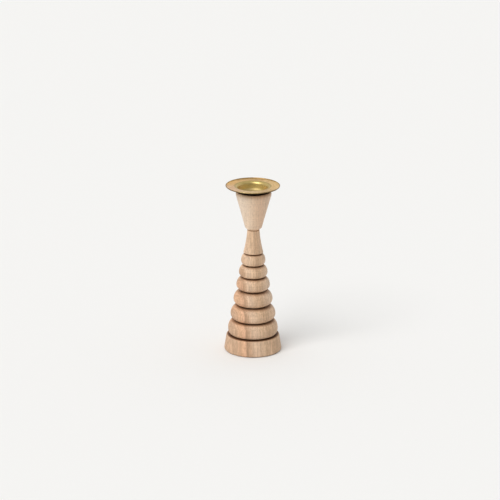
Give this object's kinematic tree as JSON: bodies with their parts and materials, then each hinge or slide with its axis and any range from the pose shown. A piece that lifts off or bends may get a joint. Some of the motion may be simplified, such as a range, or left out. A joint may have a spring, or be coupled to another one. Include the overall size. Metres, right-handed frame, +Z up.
{
  "type": "candlestick",
  "caption": "Slender turned wooden candlestick: tapering stack of rounded rings, waisted neck, flared head and a drop-in brass candle cup with a wide flange.",
  "frame": {"origin": "on the axis, in the plane that the candlestick stands on", "axes": "+Z up along the turning axis; the part is round, so X and Y are free, with the grain's orange band towards -X and -Y"},
  "size_m": [0.0466, 0.0466, 0.1397],
  "materials": {
    "column_wood": "bare sanded beech-like hardwood, satin, straight grain along the axis",
    "head_wood": "bare sanded beech-like hardwood, satin, paler than the column",
    "dowel_wood": "plain machined dowel",
    "brass": "spun sheet, satin polished, faint concentric tool lines",
    "felt": "pressed wool felt"
  },
  "bodies": {
    "holder": {"turned_column": "column_wood", "turned_head": "head_wood", "neck_dowel": "dowel_wood", "felt_base_pad": "felt"},
    "candle_cup": {"brass_candle_cup": "brass"}
  },
  "joints": [
    {"name": "cup_lift", "type": "slide", "parent": "holder", "child": "candle_cup", "axis": [0, 0, 1], "range_m": [0, 0.025]}
  ]
}
